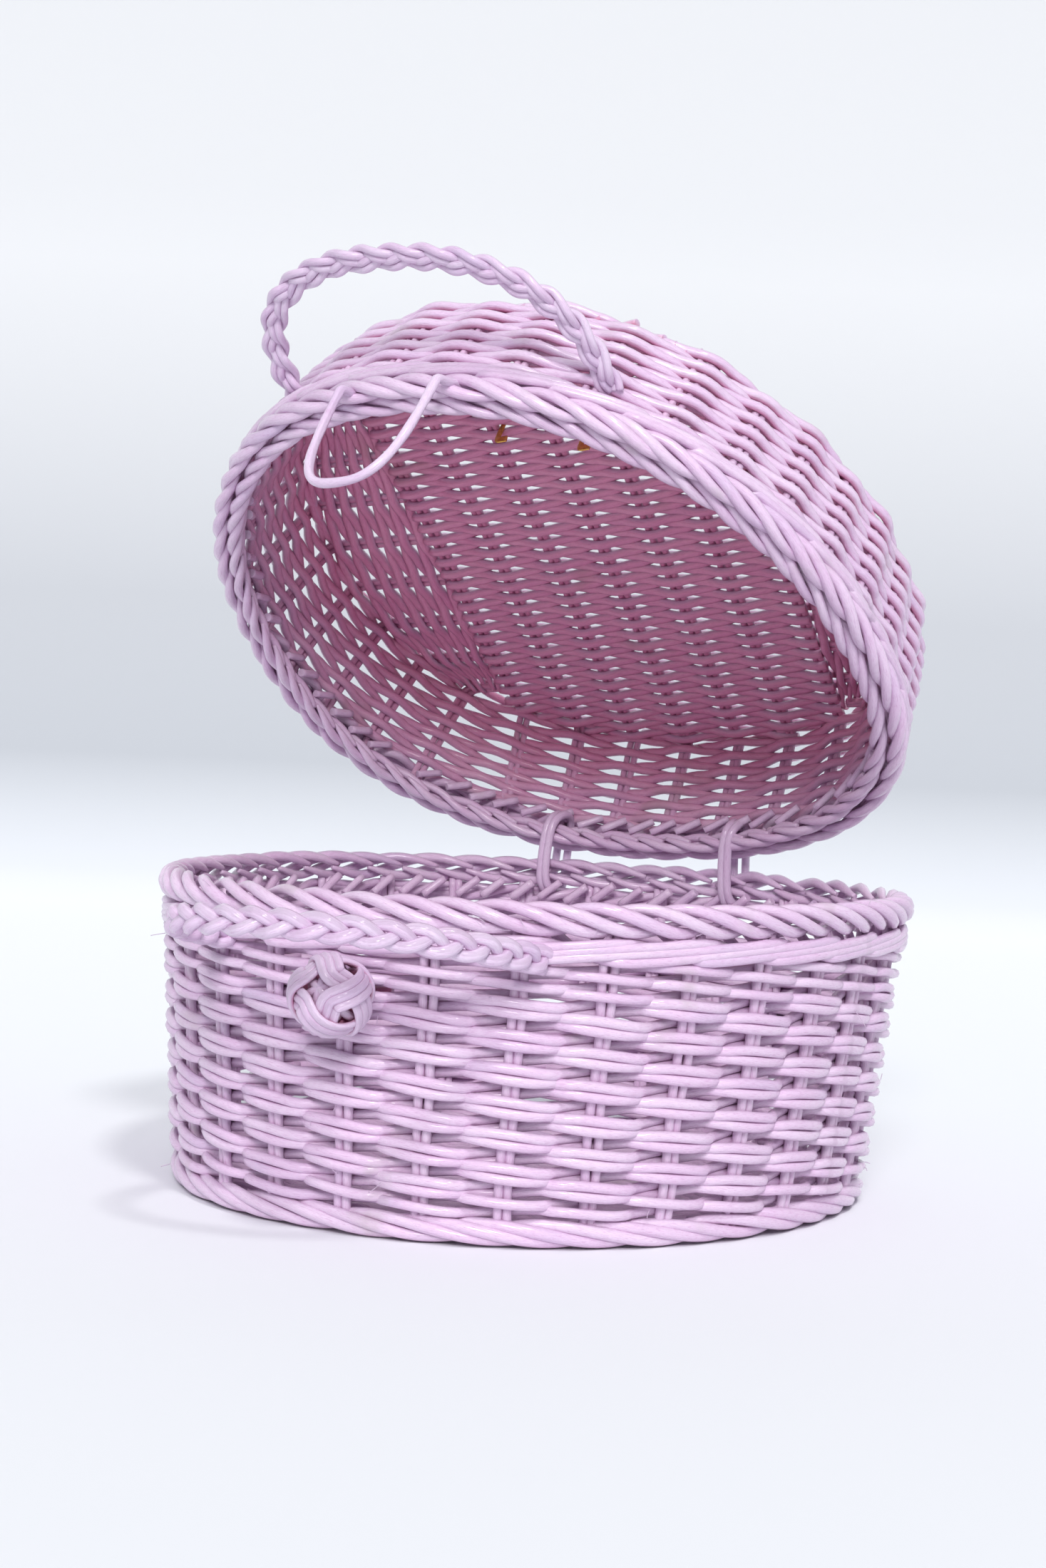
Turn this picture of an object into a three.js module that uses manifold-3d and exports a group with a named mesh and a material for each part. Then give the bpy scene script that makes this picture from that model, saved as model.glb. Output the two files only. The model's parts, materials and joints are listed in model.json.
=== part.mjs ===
// A wicker easter basket: an egg-shaped woven base, a hinged woven lid, two braided
// handles, a cane loop on the lid and a ball knob on the base that the loop goes over.
// Millimetres, +Z up, the basket's front towards -Y. The lid is modelled closed and then
// turned open about its hinge line.
import * as THREE from 'three';
import { mergeVertices } from 'three/addons/utils/BufferGeometryUtils.js';
import Module from 'manifold-3d';

const wasm = await Module();
wasm.setup();

// ---- Driving dimensions ----
const GAP = 0.3;

// Plan outline of every level: an oval, fuller at the back than at the front
const RIM_HALF_WIDTH = 165;
const DEPTH_RATIO = 0.983;
const OVAL_POWER = 2.2;
const EGG = 0.112;
const PLAN_TURN = THREE.MathUtils.degToRad(3.2);

// Base
const BASE_HEIGHT = 138;
const ROPE_RADIUS = 7.4;
const FOOT_HALF_WIDTH = 152;
const FOOT_SHIFT = -3.5;
const FOOT_HEIGHT = 12;
const FOOT_DEPTH = 11;
const WALL_THICKNESS = 7;
const WALE_HEIGHT = 9;
const NOTCH_DEPTH = 6;
const FLOOR_THICKNESS = 5;
const STAKE_WIDTH = 6;
const STAKE_THICKNESS = 3;
const BASE_STAKES = 28;

// Lid
const RIM_CLEARANCE = 0.6;
const LID_HEIGHT = 73.3;
const LID_TOP_HALF_WIDTH = 152;
const LID_TOP_SHIFT = 6.6;
const LID_CORNER = 7;
const PANEL_THICKNESS = 5;
const LID_STAKES = 7;
const LID_STAKE_PITCH = 30;
const LID_STAKE_CENTRE_X = 10;
const LID_STAKE_LEAN = 0.13;
const SIDE_STAKE_ANGLES = { left: [2.79, 3.24, 3.69], right: [-0.2, 0.22, 0.65] };

// Hinge line and how far the lid stands open
const HINGE_POINT = new THREE.Vector3(4.6, 159.1, 147.7);
const HINGE_AXIS = new THREE.Vector3(0.988, 0.0514, 0.1456).normalize();
const OPEN_ANGLE = THREE.MathUtils.degToRad(39.36);
const HINGE_LOOP_X = [-64, 34];
const LOOP_ROD = 3.6;
const LOOP_REACH = 9.6;
const LOOP_WIDTH = 8.6;
const NOTCH_WIDTH = 13;

// Braided handles
const BRAID_WIDTH = 11;
const BRAID_THICKNESS = 9.5;
const ROOT_CLEARANCE = 2.5;

// Clasp loop and ball knob
const FRONT_LINE_X = 13;
const CLASP_ROD = 4.2;
const KNOB_RADIUS = 17.5;
const KNOB_HEIGHT = 98;

const SEGMENTS = 56;

// ---- Materials ----
function material(color, roughness, metalness) {
  return new THREE.MeshStandardMaterial({ color, roughness, metalness });
}
const paintedWillow = () => material(0xe3bfe2, 0.35, 0);
const paintedCane = () => material(0xe6c6e6, 0.3, 0);
const brass = () => material(0xc9952e, 0.35, 0.9);

// ---- Plan outline ----
function signedPower(value, power) {
  return Math.sign(value) * Math.abs(value) ** power;
}

/** Point of the oval with the given half width at parameter angle t, moved sideways. */
function planPoint(halfWidth, t, shiftX = 0) {
  const power = 2 / OVAL_POWER;
  const x = halfWidth * signedPower(Math.cos(t), power) * (1 + EGG * Math.sin(t));
  const y = halfWidth * DEPTH_RATIO * signedPower(Math.sin(t), power);
  const c = Math.cos(PLAN_TURN);
  const s = Math.sin(PLAN_TURN);
  return new THREE.Vector2(x * c - y * s + shiftX, x * s + y * c);
}

/** Y of the oval's front (side -1) or back (side 1) at a given x. */
function planY(halfWidth, x, side, shiftX = 0) {
  let low = side > 0 ? Math.PI : -Math.PI;
  let high = 0;
  for (let step = 0; step < 40; step += 1) {
    const middle = (low + high) / 2;
    if (planPoint(halfWidth, middle, shiftX).x < x) low = middle;
    else high = middle;
  }
  return planPoint(halfWidth, (low + high) / 2, shiftX).y;
}

/** Revolves a closed profile of [half width, z, sideways shift] around the oval. */
function planRing(profile, segments = SEGMENTS) {
  const points = profile.map(([r, z]) => new THREE.Vector2(r, z));
  const geometry = new THREE.LatheGeometry(points, segments);
  geometry.rotateX(Math.PI / 2);
  const position = geometry.attributes.position;
  for (let i = 0; i < position.count; i += 1) {
    const r = Math.hypot(position.getX(i), position.getY(i));
    const t = Math.atan2(position.getY(i), position.getX(i));
    const shift = profile[i % profile.length][2] ?? 0;
    const p = planPoint(r, t, shift);
    position.setXY(i, p.x, p.y);
  }
  return facingOut(geometry);
}

/** Turns a closed geometry's faces outwards if they face in. */
function facingOut(geometry) {
  geometry.deleteAttribute('normal');
  geometry.deleteAttribute('uv');
  const merged = mergeVertices(geometry, 1e-4);
  const p = merged.attributes.position;
  const index = merged.index;
  const a = new THREE.Vector3();
  const b = new THREE.Vector3();
  const c = new THREE.Vector3();
  const kept = [];
  let volume = 0;
  for (let i = 0; i < index.count; i += 3) {
    const corners = [index.getX(i), index.getX(i + 1), index.getX(i + 2)];
    if (new Set(corners).size < 3) continue;
    kept.push(...corners);
    a.fromBufferAttribute(p, corners[0]);
    b.fromBufferAttribute(p, corners[1]);
    c.fromBufferAttribute(p, corners[2]);
    volume += a.dot(b.cross(c));
  }
  if (volume < 0) kept.reverse();
  merged.setIndex(kept);
  return merged;
}

// ---- Solid joins and cuts ----
function toSolid(geometry) {
  return new wasm.Manifold(new wasm.Mesh({
    numProp: 3,
    vertProperties: new Float32Array(geometry.attributes.position.array),
    triVerts: new Uint32Array(geometry.index.array),
  }));
}

function fromSolid(solid) {
  const mesh = solid.getMesh();
  const geometry = new THREE.BufferGeometry();
  geometry.setAttribute('position', new THREE.BufferAttribute(mesh.vertProperties, 3));
  geometry.setIndex(new THREE.BufferAttribute(mesh.triVerts, 1));
  return geometry;
}

function cut(geometry, tools) {
  let solid = toSolid(geometry);
  for (const tool of tools) solid = solid.subtract(toSolid(facingOut(tool)));
  return fromSolid(solid);
}

function join(geometries) {
  let solid = toSolid(geometries[0]);
  for (const other of geometries.slice(1)) solid = solid.add(toSolid(other));
  return fromSolid(solid);
}

// ---- Small shapes ----
/** A straight flat rod from one point to another, its wide side along `across`. */
function flatRod(from, to, across) {
  const along = new THREE.Vector3().subVectors(to, from);
  const length = along.length();
  along.normalize();
  const normal = new THREE.Vector3().crossVectors(along, across).normalize();
  const side = new THREE.Vector3().crossVectors(normal, along);
  const w = STAKE_WIDTH / 2;
  const h = STAKE_THICKNESS / 2;
  const bevel = 1;
  const outline = [
    [-w + bevel, -h], [w - bevel, -h], [w, 0], [w - bevel, h], [-w + bevel, h], [-w, 0],
  ];
  const shape = new THREE.Shape(outline.map(([x, y]) => new THREE.Vector2(x, y)));
  const geometry = new THREE.ExtrudeGeometry(shape, { depth: length, bevelEnabled: false });
  geometry.applyMatrix4(new THREE.Matrix4().makeBasis(side, normal, along));
  geometry.translate(from.x, from.y, from.z);
  return facingOut(geometry);
}

function ellipseShape(halfX, halfY, points) {
  const corners = [];
  for (let i = 0; i < points; i += 1) {
    const t = (i / points) * Math.PI * 2;
    corners.push(new THREE.Vector2(halfX * Math.cos(t), halfY * Math.sin(t)));
  }
  return new THREE.Shape(corners);
}

function tubeAlong(points, halfX, halfY, steps, sides = 8) {
  const path = new THREE.CatmullRomCurve3(points);
  const options = { steps, bevelEnabled: false, extrudePath: path };
  return facingOut(new THREE.ExtrudeGeometry(ellipseShape(halfX, halfY, sides), options));
}

function boxAt(x, y, z, sizeX, sizeY, sizeZ) {
  const geometry = new THREE.BoxGeometry(sizeX, sizeY, sizeZ);
  geometry.translate(x, y, z);
  return geometry;
}

// ---- Assembly helpers ----
const basket = new THREE.Group();
const lid = new THREE.Group();
lid.quaternion.setFromAxisAngle(HINGE_AXIS, -OPEN_ANGLE);
lid.position.copy(HINGE_POINT.clone().applyQuaternion(lid.quaternion).negate().add(HINGE_POINT));
basket.add(lid);

function addNode(parent, name, geometry, finish) {
  const mesh = new THREE.Mesh(geometry, finish);
  mesh.name = name;
  parent.add(mesh);
}

function twoDigits(number) {
  return String(number).padStart(2, '0');
}

// ---- Base ----
const ROPE_CENTRE_Z = BASE_HEIGHT - ROPE_RADIUS;
const ROPE_HALF_WIDTH = RIM_HALF_WIDTH - ROPE_RADIUS;
const WALE_TOP = BASE_HEIGHT - 2 * ROPE_RADIUS - GAP;
const WALE_BOTTOM = WALE_TOP - WALE_HEIGHT;
const WALL_BOTTOM = FOOT_HEIGHT + GAP;
const WALL_TOP = WALE_BOTTOM - GAP;

/** Outer half width and sideways shift of the base's wall at a height. */
function baseWallAt(z) {
  const share = (z - FOOT_HEIGHT / 2) / (ROPE_CENTRE_Z - FOOT_HEIGHT / 2);
  const outer = FOOT_HALF_WIDTH + (RIM_HALF_WIDTH - 1.5 - FOOT_HALF_WIDTH) * share;
  return { outer, shift: FOOT_SHIFT * (1 - share) };
}

function baseWallBand(bottom, top) {
  const low = baseWallAt(bottom);
  const high = baseWallAt(top);
  return planRing([
    [low.outer - WALL_THICKNESS, bottom, low.shift],
    [low.outer, bottom, low.shift],
    [high.outer, top, high.shift],
    [high.outer - WALL_THICKNESS, top, high.shift],
    [low.outer - WALL_THICKNESS, bottom, low.shift],
  ]);
}

function ropeRing(halfWidth, z, halfAcross, halfHigh, sides = 8) {
  const profile = [];
  for (let i = 0; i <= sides; i += 1) {
    const t = (i / sides) * Math.PI * 2;
    profile.push([halfWidth + halfAcross * Math.cos(t), z + halfHigh * Math.sin(t)]);
  }
  return planRing(profile);
}

function footBorder() {
  const inner = FOOT_HALF_WIDTH - FOOT_DEPTH;
  const bevel = 3;
  const outline = [
    [inner, 0], [FOOT_HALF_WIDTH - bevel, 0], [FOOT_HALF_WIDTH, bevel],
    [FOOT_HALF_WIDTH, FOOT_HEIGHT - bevel], [FOOT_HALF_WIDTH - bevel, FOOT_HEIGHT],
    [inner, FOOT_HEIGHT], [inner, 0],
  ];
  return planRing(outline.map(([r, z]) => [r, z, FOOT_SHIFT]));
}

function baseFloor() {
  const edge = FOOT_HALF_WIDTH - FOOT_DEPTH - GAP;
  const outline = [[0, 0], [edge, 0], [edge, FLOOR_THICKNESS], [0, FLOOR_THICKNESS]];
  return planRing(outline.map(([r, z]) => [r, z, FOOT_SHIFT]));
}

function notchBoxes(z, height) {
  return HINGE_LOOP_X.map((x) => boxAt(x, planY(ROPE_HALF_WIDTH, x, 1), z, NOTCH_WIDTH, 40, height));
}

/** The wall's outer surface at the front, at the ball knob. */
function knobPlace() {
  const { outer, shift } = baseWallAt(KNOB_HEIGHT);
  const wallY = planY(outer, FRONT_LINE_X, -1, shift);
  return new THREE.Vector3(FRONT_LINE_X, wallY - KNOB_RADIUS - GAP, KNOB_HEIGHT);
}

const TIE_RADIUS = 2.2;
const TIE_LENGTH = 12;
function tieHole() {
  const knob = knobPlace();
  const hole = new THREE.CylinderGeometry(TIE_RADIUS + GAP, TIE_RADIUS + GAP, 30, 10);
  hole.translate(knob.x, knob.y + KNOB_RADIUS + 8, knob.z);
  return hole;
}

/** The cane tail that holds the knob: through the wall, with a cross bar on the inside. */
function knobTie() {
  const knob = knobPlace();
  const startY = knob.y + KNOB_RADIUS + 0.4;
  const stem = new THREE.CylinderGeometry(TIE_RADIUS, TIE_RADIUS, TIE_LENGTH, 10);
  stem.translate(knob.x, startY + TIE_LENGTH / 2, knob.z);
  const bar = new THREE.CylinderGeometry(TIE_RADIUS, TIE_RADIUS, 18, 10);
  bar.rotateZ(Math.PI / 2);
  bar.translate(knob.x, startY + TIE_LENGTH - TIE_RADIUS / 2, knob.z);
  return join([facingOut(stem), facingOut(bar)]);
}

/** Level direction along the oval at parameter angle t. */
function outlineDirection(t) {
  const before = planPoint(RIM_HALF_WIDTH, t - 0.05);
  const after = planPoint(RIM_HALF_WIDTH, t + 0.05);
  return new THREE.Vector3(after.x - before.x, after.y - before.y, 0).normalize();
}

function baseStake(index) {
  const t = ((index + 0.5) / BASE_STAKES) * Math.PI * 2;
  const inset = WALL_THICKNESS + STAKE_THICKNESS / 2 + 0.9;
  const ends = [WALL_BOTTOM + 1, WALL_TOP - 0.5].map((z) => {
    const { outer, shift } = baseWallAt(z);
    const p = planPoint(outer - inset, t, shift);
    return new THREE.Vector3(p.x, p.y, z);
  });
  return flatRod(ends[0], ends[1], outlineDirection(t));
}

/** A braided arch that leaves the wall at two roots and leans `lift` above level. */
function braidedArch({ centreX, z, halfSpan, reach, lift, fullness, rootY }) {
  const points = [];
  const count = 17;
  const power = 2 / fullness;
  for (let i = 0; i < count; i += 1) {
    const t = (i / (count - 1)) * Math.PI;
    const side = signedPower(Math.cos(t), power);
    const out = reach * Math.abs(Math.sin(t)) ** power;
    const x = centreX + halfSpan * side;
    const chordY = (rootY[1] + rootY[0]) / 2 + ((rootY[1] - rootY[0]) / 2) * side;
    points.push(new THREE.Vector3(x, chordY - out * Math.cos(lift), z + out * Math.sin(lift)));
  }
  return tubeAlong(points, BRAID_WIDTH / 2, BRAID_THICKNESS / 2, 30);
}

const BASE_HANDLE = { centreX: 14.6, z: 116, halfSpan: 69, reach: 79.5, lift: 0.165, fullness: 2.2 };
const LID_HANDLE = { centreX: 16, z: 165.5, halfSpan: 80, reach: 66, lift: 0.15, fullness: 2.3 };

function handleRoots(handle, outer, shift) {
  return [-1, 1].map((side) => {
    const x = handle.centreX + side * (handle.halfSpan - BRAID_WIDTH / 2);
    return planY(outer, x, -1, shift) - ROOT_CLEARANCE;
  });
}

function buildBase() {
  addNode(basket, 'base_floor', baseFloor(), paintedWillow());
  addNode(basket, 'base_foot_border', footBorder(), paintedWillow());
  const wall = cut(baseWallBand(WALL_BOTTOM, WALL_TOP), [tieHole()]);
  addNode(basket, 'base_wall', wall, paintedWillow());
  const wale = cut(baseWallBand(WALE_BOTTOM, WALE_TOP), notchBoxes(WALE_TOP, 2 * NOTCH_DEPTH));
  addNode(basket, 'base_upper_wale', wale, paintedWillow());
  const rope = ropeRing(ROPE_HALF_WIDTH, ROPE_CENTRE_Z, ROPE_RADIUS, ROPE_RADIUS);
  addNode(basket, 'base_rim_border', rope, paintedWillow());
  for (let index = 0; index < BASE_STAKES; index += 1) {
    addNode(basket, `base_stake_${twoDigits(index + 1)}`, baseStake(index), paintedWillow());
  }
  const ball = new THREE.SphereGeometry(KNOB_RADIUS, 20, 14);
  const place = knobPlace();
  ball.translate(place.x, place.y, place.z);
  addNode(basket, 'knob_ball', facingOut(ball), paintedCane());
  addNode(basket, 'knob_tie', knobTie(), paintedCane());
  const { outer, shift } = baseWallAt(BASE_HANDLE.z);
  const arch = braidedArch({ ...BASE_HANDLE, rootY: handleRoots(BASE_HANDLE, outer, shift) });
  addNode(basket, 'base_handle', arch, paintedCane());
}

// ---- Lid, closed ----
const LID_BOTTOM = BASE_HEIGHT + RIM_CLEARANCE;
const LID_ROPE_Z = LID_BOTTOM + ROPE_RADIUS;
const LID_WALL_BOTTOM = LID_BOTTOM + 2 * ROPE_RADIUS + GAP;
const LID_TOP = LID_BOTTOM + LID_HEIGHT;
const PANEL_BOTTOM = LID_TOP - PANEL_THICKNESS;

/** Outer half width and sideways shift of the lid's wall at a height. */
function lidWallAt(z) {
  const share = (z - LID_WALL_BOTTOM) / (LID_TOP - LID_CORNER / 2 - LID_WALL_BOTTOM);
  const outer = RIM_HALF_WIDTH - 2 - (RIM_HALF_WIDTH - 2 - LID_TOP_HALF_WIDTH) * share ** 1.6;
  return { outer, shift: LID_TOP_SHIFT * share };
}

function lidWall() {
  const levels = [0, 0.4, 0.75, 1].map((share) => {
    const z = LID_WALL_BOTTOM + (LID_TOP - LID_CORNER - LID_WALL_BOTTOM) * share;
    return { z, ...lidWallAt(z) };
  });
  const edge = LID_TOP_HALF_WIDTH - LID_CORNER;
  const outside = levels.map(({ z, outer, shift }) => [outer, z, shift]);
  const inside = levels.map(({ z, outer, shift }) => [outer - WALL_THICKNESS, z, shift]).reverse();
  const corner = [
    [edge, LID_TOP, LID_TOP_SHIFT], [edge - 4, LID_TOP, LID_TOP_SHIFT],
    [edge - 4, PANEL_BOTTOM, LID_TOP_SHIFT],
  ];
  return planRing([...outside, ...corner, ...inside, outside[0]]);
}

function lidPanel() {
  const edge = LID_TOP_HALF_WIDTH - LID_CORNER - 4 - GAP;
  const outline = [[0, PANEL_BOTTOM], [edge, PANEL_BOTTOM], [edge, LID_TOP], [0, LID_TOP]];
  return planRing(outline.map(([r, z]) => [r, z, LID_TOP_SHIFT]));
}

/** Where a stake's slanting line across the lid meets the oval, at its front or back. */
function stakeLineEnd(centreX, halfWidth, side) {
  let x = centreX;
  for (let step = 0; step < 12; step += 1) {
    x = centreX - LID_STAKE_LEAN * planY(halfWidth, x, side, LID_TOP_SHIFT);
  }
  return x;
}

/** A stake that runs up the lid's front wall, back under the top and down the rear wall. */
function lidStake(index) {
  const centreX = LID_STAKE_CENTRE_X + (index - (LID_STAKES - 1) / 2) * LID_STAKE_PITCH;
  const inset = WALL_THICKNESS + STAKE_THICKNESS / 2 + 3.5;
  const low = LID_WALL_BOTTOM + 7;
  const high = PANEL_BOTTOM - STAKE_THICKNESS / 2 - GAP - 0.3;
  const kneeHalfWidth = LID_TOP_HALF_WIDTH - LID_CORNER - inset - 4;
  const endX = { '-1': stakeLineEnd(centreX, kneeHalfWidth, -1), 1: stakeLineEnd(centreX, kneeHalfWidth, 1) };
  const leg = (side, z) => {
    const { outer, shift } = lidWallAt(z);
    return new THREE.Vector3(endX[side], planY(outer - inset, endX[side], side, shift), z);
  };
  const knee = (side) => {
    const y = planY(kneeHalfWidth, endX[side], side, LID_TOP_SHIFT);
    return new THREE.Vector3(endX[side], y, high);
  };
  const path = [leg(-1, low), leg(-1, (low + high) / 2), leg(-1, high - 10), knee(-1), knee(1),
    leg(1, high - 10), leg(1, (low + high) / 2), leg(1, low)];
  const across = new THREE.Vector3(1, 0, 0);
  const pieces = [];
  for (let i = 0; i < path.length - 1; i += 1) pieces.push(flatRod(path[i], path[i + 1], across));
  const knees = path.slice(1, -1).map((p) => {
    const round = new THREE.CylinderGeometry(STAKE_THICKNESS / 2, STAKE_THICKNESS / 2, STAKE_WIDTH - 2, 6);
    round.rotateZ(Math.PI / 2);
    round.translate(p.x, p.y, p.z);
    return facingOut(round);
  });
  return join([...pieces, ...knees]);
}

/** A stake of the lid's left or right wall, where no top stake comes down. */
function sideStake(t) {
  const inset = WALL_THICKNESS + STAKE_THICKNESS / 2 + 1.2;
  const ends = [LID_WALL_BOTTOM + 7, PANEL_BOTTOM - 14].map((z) => {
    const { outer, shift } = lidWallAt(z);
    const p = planPoint(outer - inset, t, shift);
    return new THREE.Vector3(p.x, p.y, z);
  });
  return flatRod(ends[0], ends[1], outlineDirection(t));
}

/** The springy cane loop: down from the lid's rim in a U that goes round the ball knob. */
function claspLoop() {
  const halfSpan = 25;
  const rootY = planY(RIM_HALF_WIDTH, FRONT_LINE_X, -1) - CLASP_ROD / 2 - 0.8;
  const rootZ = LID_ROPE_Z + 3;
  const drop = 68;
  const points = [];
  const count = 17;
  for (let i = 0; i < count; i += 1) {
    const t = (i / (count - 1)) * Math.PI;
    const side = signedPower(Math.cos(t), 0.66);
    const down = drop * Math.abs(Math.sin(t)) ** 0.66;
    points.push(new THREE.Vector3(FRONT_LINE_X + halfSpan * side, rootY - down * 0.02, rootZ - down));
  }
  return tubeAlong(points, CLASP_ROD / 2, CLASP_ROD / 2, 32);
}

/** A bent brass tie leg: a short tongue below the top and a foot folded to one side. */
function brassTie(x, y, foot) {
  const tongue = facingOut(boxAt(x, y, PANEL_BOTTOM - GAP - 4.5, 3.4, 1, 9));
  const bend = facingOut(boxAt(x + foot / 2, y, PANEL_BOTTOM - GAP - 8.8, foot, 3, 1.2));
  return join([tongue, bend]);
}

function hingeLoop(x) {
  const y = planY(ROPE_HALF_WIDTH, x, 1);
  const low = new THREE.Vector3(x, y, ROPE_CENTRE_Z);
  const high = new THREE.Vector3(x, y, LID_ROPE_Z);
  high.applyQuaternion(lid.quaternion).add(lid.position);
  const span = new THREE.Vector2(high.y - low.y, high.z - low.z);
  const shape = new THREE.Shape();
  const outer = LOOP_REACH + LOOP_ROD;
  shape.absarc(0, 0, outer, Math.PI, 0, false);
  shape.absarc(0, span.length(), outer, 0, Math.PI, false);
  const hole = new THREE.Path();
  hole.absarc(0, 0, LOOP_REACH, Math.PI, 0, false);
  hole.absarc(0, span.length(), LOOP_REACH, 0, Math.PI, false);
  shape.holes.push(hole);
  const options = { depth: LOOP_WIDTH, bevelEnabled: false, curveSegments: 10 };
  const geometry = new THREE.ExtrudeGeometry(shape, options);
  geometry.translate(0, 0, -LOOP_WIDTH / 2);
  const up = new THREE.Vector3(0, span.x, span.y).normalize();
  const along = new THREE.Vector3(1, 0, 0);
  const side = new THREE.Vector3().crossVectors(up, along);
  geometry.applyMatrix4(new THREE.Matrix4().makeBasis(side, up, along));
  geometry.translate(low.x, low.y, low.z);
  return facingOut(geometry);
}

function buildLid() {
  const ropeOffset = ROPE_RADIUS / 2 + 0.1;
  const strand = ROPE_RADIUS / 2 - 0.2;
  const outerRope = ropeRing(ROPE_HALF_WIDTH + ropeOffset, LID_ROPE_Z, strand, ROPE_RADIUS - 0.2);
  const innerRope = ropeRing(ROPE_HALF_WIDTH - ropeOffset, LID_ROPE_Z, strand, ROPE_RADIUS - 0.2);
  addNode(lid, 'lid_rim_outer_rope', outerRope, paintedWillow());
  addNode(lid, 'lid_rim_inner_rope', innerRope, paintedWillow());
  addNode(lid, 'lid_wall', cut(lidWall(), notchBoxes(LID_WALL_BOTTOM, 14)), paintedWillow());
  addNode(lid, 'lid_panel', lidPanel(), paintedWillow());
  for (let index = 0; index < LID_STAKES; index += 1) {
    addNode(lid, `lid_stake_${twoDigits(index + 1)}`, lidStake(index), paintedWillow());
  }
  for (const [side, angles] of Object.entries(SIDE_STAKE_ANGLES)) {
    angles.forEach((t, index) => {
      addNode(lid, `lid_side_stake_${side}_${index + 1}`, sideStake(t), paintedWillow());
    });
  }
  const { outer, shift } = lidWallAt(LID_HANDLE.z);
  const arch = braidedArch({ ...LID_HANDLE, rootY: handleRoots(LID_HANDLE, outer, shift) });
  addNode(lid, 'lid_handle', arch, paintedCane());
  addNode(lid, 'clasp_loop', claspLoop(), paintedCane());
  addNode(lid, 'brass_tie_left', brassTie(-4.6, -77, 7), brass());
  addNode(lid, 'brass_tie_right', brassTie(34.6, -67, 7), brass());
}

buildBase();
buildLid();
addNode(basket, 'hinge_loop_left', hingeLoop(HINGE_LOOP_X[0]), paintedCane());
addNode(basket, 'hinge_loop_right', hingeLoop(HINGE_LOOP_X[1]), paintedCane());

export default basket;
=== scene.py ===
"""Looks for the wicker easter basket: every CAD solid is replaced by woven rods.

Lengths are in millimetres until a mesh is made. Ring levels are ovals; `share` runs
round them from 0 to 1 by arc length, counter-clockwise seen from above, 0 towards +X.
The lid is woven closed and then turned open about the frame's hinge.
"""

import json
import math

import bpy
import numpy as np
from mathutils import Matrix, Vector


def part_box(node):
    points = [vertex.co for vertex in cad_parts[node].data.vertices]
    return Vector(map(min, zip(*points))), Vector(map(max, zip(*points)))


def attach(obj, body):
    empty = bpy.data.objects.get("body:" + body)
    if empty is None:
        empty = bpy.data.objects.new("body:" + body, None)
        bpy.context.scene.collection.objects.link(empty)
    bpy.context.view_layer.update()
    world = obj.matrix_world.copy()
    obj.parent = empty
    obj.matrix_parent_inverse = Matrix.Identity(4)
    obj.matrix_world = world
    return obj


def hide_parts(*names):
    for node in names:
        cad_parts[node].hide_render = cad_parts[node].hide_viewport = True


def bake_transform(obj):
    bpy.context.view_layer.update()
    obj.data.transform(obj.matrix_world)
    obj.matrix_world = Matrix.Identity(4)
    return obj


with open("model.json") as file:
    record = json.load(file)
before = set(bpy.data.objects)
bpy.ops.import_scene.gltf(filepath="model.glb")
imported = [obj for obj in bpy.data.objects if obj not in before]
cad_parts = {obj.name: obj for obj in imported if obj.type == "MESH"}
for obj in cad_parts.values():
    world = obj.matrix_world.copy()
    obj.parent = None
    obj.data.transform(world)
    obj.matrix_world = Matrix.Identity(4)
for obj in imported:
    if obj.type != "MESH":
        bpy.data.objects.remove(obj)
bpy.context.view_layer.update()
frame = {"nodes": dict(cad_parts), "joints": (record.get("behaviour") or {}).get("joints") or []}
RNG = np.random.default_rng(11)
MM = 0.001
TAU = 2 * math.pi

# ---------------------------------------------------------------- frame measurements
HINGE = next(joint for joint in frame["joints"] if joint["name"] == "lid_hinge")


def turn_about(point, axis, degrees):
    """4x4 matrix of a turn about a line, in millimetres."""
    centre = Vector(point) / MM
    turn = Matrix.Rotation(math.radians(degrees), 4, Vector(axis).normalized())
    return Matrix.Translation(centre) @ turn @ Matrix.Translation(-centre)


OPEN = np.array(turn_about(HINGE["pos_m"], HINGE["axis"], -HINGE["range_deg"][0]))
CLOSE = np.linalg.inv(OPEN)


def moved(points, matrix):
    return points @ matrix[:3, :3].T + matrix[:3, 3]


def node_points(name, closed=False):
    """A CAD node's vertices in millimetres, with the lid shut if closed is set."""
    mesh = frame["nodes"][name].data
    points = np.zeros(len(mesh.vertices) * 3)
    mesh.vertices.foreach_get("co", points)
    points = points.reshape(-1, 3) / MM
    return moved(points, CLOSE) if closed else points


# ---------------------------------------------------------------- plan oval
OVAL = 2 / 2.2  # below 1 squares the oval off a little
EGG = 0.112  # share by which the back is wider, and the front narrower, than the middle
DEPTH = 0.983  # depth over width
TURN = math.radians(3.2)


def signed_power(value, power):
    return np.sign(value) * np.abs(value) ** power


def oval_at(half, t, shift=0.0):
    """Plan x and y at parameter angle t of the oval with that half width."""
    x = half * signed_power(np.cos(t), OVAL) * (1 + EGG * np.sin(t))
    y = half * DEPTH * signed_power(np.sin(t), OVAL)
    c, s = math.cos(TURN), math.sin(TURN)
    return x * c - y * s + shift, x * s + y * c


TABLE_T = np.linspace(0, TAU, 7201)
_x, _y = oval_at(1.0, TABLE_T)
_run = np.r_[0, np.cumsum(np.hypot(np.diff(_x), np.diff(_y)))]
TABLE_SHARE = _run / _run[-1]
UNIT_LENGTH = _run[-1]
UNIT_HALF = np.ptp(_x) / 2
UNIT_MIDDLE = (_x.max() + _x.min()) / 2


def oval(half, share, shift=0.0):
    """Plan x and y at a share of the way round."""
    return oval_at(half, np.interp(np.mod(share, 1), TABLE_SHARE, TABLE_T), shift)


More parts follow.
